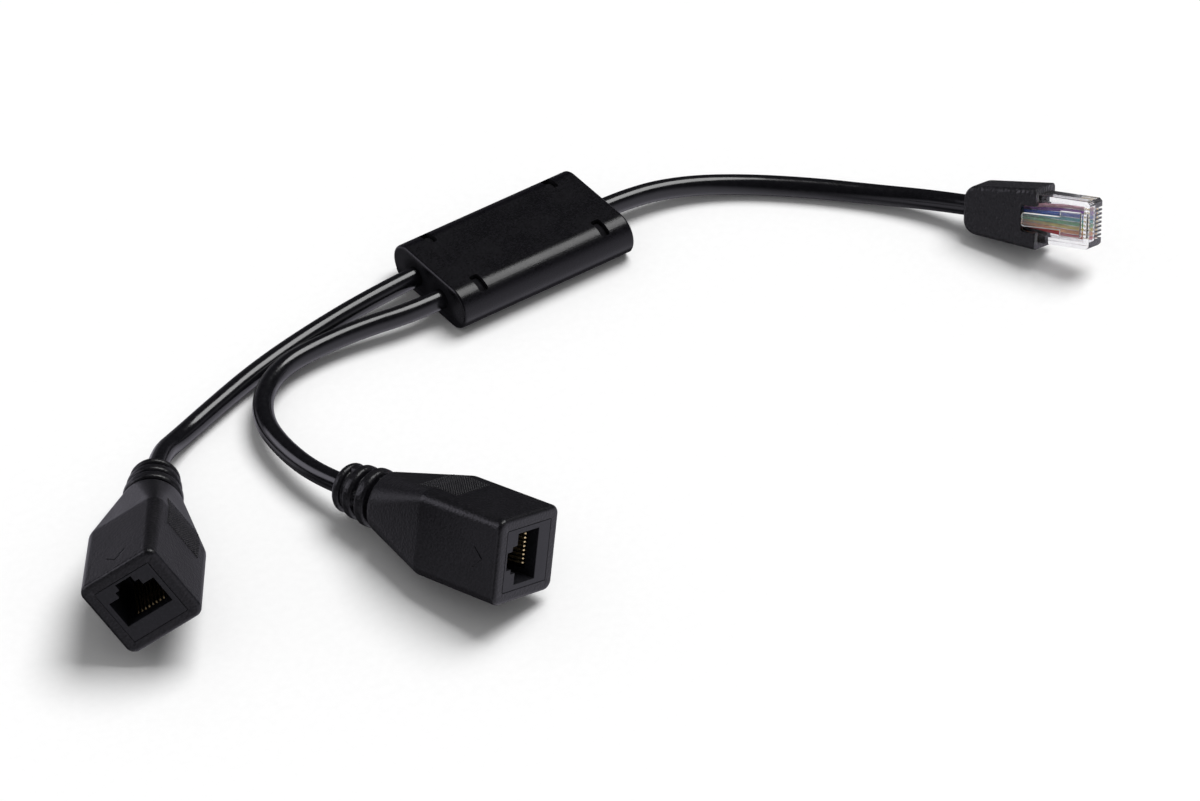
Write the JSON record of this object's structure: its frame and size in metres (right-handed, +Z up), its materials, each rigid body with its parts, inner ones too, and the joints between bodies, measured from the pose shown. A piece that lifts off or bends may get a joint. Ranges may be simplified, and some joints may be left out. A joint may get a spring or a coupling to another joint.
{
  "type": "poe injector",
  "caption": "Inline power injector cable: obround housing with a jack on each of two short cables and a clear modular plug on a third.",
  "frame": {"origin": "centre of the underside of the central housing, on the floor it lies on", "axes": "+X along the housing towards the plug cable, +Z up, +Y across the housing"},
  "size_m": [0.2781, 0.1224, 0.0306],
  "materials": {
    "housing_plastic": "satin moulded black",
    "board_laminate": "green solder mask",
    "solder": "tinned solder",
    "ceramic": "ceramic chip",
    "chip_black": "moulded epoxy",
    "ferrule_metal": "crimped metal",
    "conductor_insulation": "insulated wires, several colours",
    "cable_jacket": "glossy black jacket",
    "overmould_black": "soft satin moulding",
    "socket_plastic": "hard satin plastic",
    "contact_gold": "gold plated spring",
    "clear_plastic": "clear polycarbonate",
    "wire_1": "wire insulation",
    "wire_2": "wire insulation",
    "wire_3": "wire insulation",
    "wire_4": "wire insulation",
    "wire_5": "wire insulation",
    "wire_6": "wire insulation",
    "wire_7": "wire insulation",
    "wire_8": "wire insulation"
  },
  "bodies": {
    "injector": {"board_capacitors": "ceramic", "board_resettable_fuse": "chip_black", "board_solder_pads": "solder", "board_surge_clamp": "chip_black", "cable_1_housing_conductors": "conductor_insulation", "cable_1_housing_ferrule": "ferrule_metal", "cable_1_jacket": "cable_jacket", "cable_2_housing_conductors": "conductor_insulation", "cable_2_housing_ferrule": "ferrule_metal", "cable_2_jacket": "cable_jacket", "cable_3_housing_conductors": "conductor_insulation", "cable_3_housing_ferrule": "ferrule_metal", "cable_3_jacket": "cable_jacket", "circuit_board": "board_laminate", "housing_bottom_shell": "housing_plastic", "housing_top_shell": "housing_plastic", "jack_1_conductors": "conductor_insulation", "jack_1_contact_carrier": "socket_plastic", "jack_1_contact_leads": "contact_gold", "jack_1_ferrule": "ferrule_metal", "jack_1_insert": "socket_plastic", "jack_1_overmould": "overmould_black", "jack_2_conductors": "conductor_insulation", "jack_2_contact_carrier": "socket_plastic", "jack_2_contact_leads": "contact_gold", "jack_2_ferrule": "ferrule_metal", "jack_2_insert": "socket_plastic", "jack_2_overmould": "overmould_black", "plug_body": "clear_plastic", "plug_boot": "overmould_black", "plug_contact_blades": "contact_gold", "plug_wire_1": "wire_1", "plug_wire_2": "wire_2", "plug_wire_3": "wire_3", "plug_wire_4": "wire_4", "plug_wire_5": "wire_5", "plug_wire_6": "wire_6", "plug_wire_7": "wire_7", "plug_wire_8": "wire_8"},
    "latch": {"plug_latch": "clear_plastic"},
    "jack_1_springs": {"jack_1_contact_springs": "contact_gold"},
    "jack_2_springs": {"jack_2_contact_springs": "contact_gold"}
  },
  "joints": [
    {"name": "plug_latch_press", "type": "hinge", "parent": "injector", "child": "latch", "pos_m": [0.10846, -0.08171, 0.01415], "axis": [-0.2721, -0.3342, -0.9024], "range_deg": [0, 6], "stiffness_Nm_per_rad": 0.05},
    {"name": "jack_1_contact_flex", "type": "hinge", "parent": "injector", "child": "jack_1_springs", "pos_m": [-0.14707, -0.06531, 0.01366], "axis": [-0.7127, 0.4108, -0.5685], "range_deg": [0, 7], "stiffness_Nm_per_rad": 0.01},
    {"name": "jack_2_contact_flex", "type": "hinge", "parent": "injector", "child": "jack_2_springs", "pos_m": [-0.06801, -0.09915, 0.01423], "axis": [-0.2855, -0.2207, -0.9326], "range_deg": [0, 7], "stiffness_Nm_per_rad": 0.01}
  ]
}
